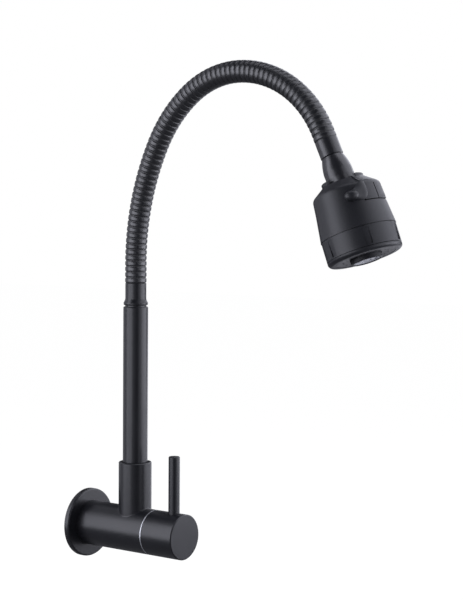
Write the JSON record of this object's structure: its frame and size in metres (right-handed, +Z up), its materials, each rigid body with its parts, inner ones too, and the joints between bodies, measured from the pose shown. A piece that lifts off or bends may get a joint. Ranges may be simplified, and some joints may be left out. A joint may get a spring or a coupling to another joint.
{
  "type": "spring spout kitchen tap",
  "caption": "Wall-mounted matt black kitchen tap with a side lever, a swivelling tube, a ribbed bendable gooseneck and a ball-jointed spray head with a mode selector.",
  "frame": {"origin": "centre of the flange's wall face, on the barrel's axis", "axes": "+Z up along the spout tube, -Y out of the wall along the barrel, wall at Y = 0"},
  "size_m": [0.0624, 0.342, 0.4414],
  "materials": {
    "black_body": "matte",
    "black_steel": "matte",
    "raw_brass": "satin",
    "chrome_ring": "polished",
    "steel": "satin",
    "ceramic": "polished",
    "seal_rubber": "matte",
    "hose_black": "satin",
    "bearing_plastic": "matte",
    "bush_black": "matte",
    "black_plastic": "satin",
    "nozzle_plastic": "matte"
  },
  "bodies": {
    "valve": {"wall_flange": "black_steel", "inlet_connector": "raw_brass", "valve_body": "black_body", "trim_ring": "chrome_ring", "collar_bush": "bush_black", "slip_washer": "bearing_plastic", "spout_screw": "steel", "cartridge_seal": "seal_rubber", "fixed_disc": "ceramic", "cartridge_body": "raw_brass"},
    "handle": {"spindle": "raw_brass", "moving_disc": "ceramic", "handle_shell": "black_body", "lever_rod": "black_steel", "handle_screw": "steel"},
    "spout": {"spout_pole": "black_steel", "swivel_tail": "raw_brass", "o_ring_lower": "seal_rubber", "o_ring_upper": "seal_rubber", "hose_adapter": "black_body", "gooseneck_hose": "hose_black"},
    "hose_end": {"hose_ferrule": "black_body", "ball_nut": "black_body", "ball_stud": "black_steel"},
    "ball_seats": {"ball_seat_upper": "bearing_plastic", "ball_seat_lower": "bearing_plastic"},
    "head": {"neck_collar": "black_plastic", "seat_gasket": "seal_rubber", "head_shell": "black_plastic", "grip_ring": "black_plastic", "spray_face": "black_plastic", "aerator_housing": "black_plastic", "aerator_insert": "nozzle_plastic", "water_core": "black_plastic"},
    "selector": {"mode_selector": "black_plastic"}
  },
  "joints": [
    {"name": "handle_turn", "type": "hinge", "parent": "valve", "child": "handle", "pos_m": [0, -0.097, 0], "axis": [0, -1, 0], "range_deg": [0, 90]},
    {"name": "spout_swivel", "type": "hinge", "parent": "valve", "child": "spout", "pos_m": [0, -0.05706, 0.045], "axis": [0, 0, 1], "range_deg": [-90, 90]},
    {"name": "gooseneck_bend", "type": "hinge", "parent": "spout", "child": "hose_end", "pos_m": [0, -0.156, 0.378], "axis": [1, 0, 0], "range_deg": [-20, 25], "deforming": ["gooseneck_hose"]},
    {"name": "head_tilt", "type": "hinge", "parent": "hose_end", "child": "ball_seats", "pos_m": [0, -0.27583, 0.30181], "axis": [1, 0, 0], "range_deg": [-16.4, 7.6]},
    {"name": "head_spin", "type": "hinge", "parent": "ball_seats", "child": "head", "pos_m": [0, -0.27583, 0.30181], "axis": [0, -0.3551, -0.9348], "continuous": true},
    {"name": "selector_turn", "type": "hinge", "parent": "head", "child": "selector", "pos_m": [0, -0.27583, 0.30181], "axis": [0, 0.3551, 0.9348], "range_deg": [0, 40]}
  ]
}
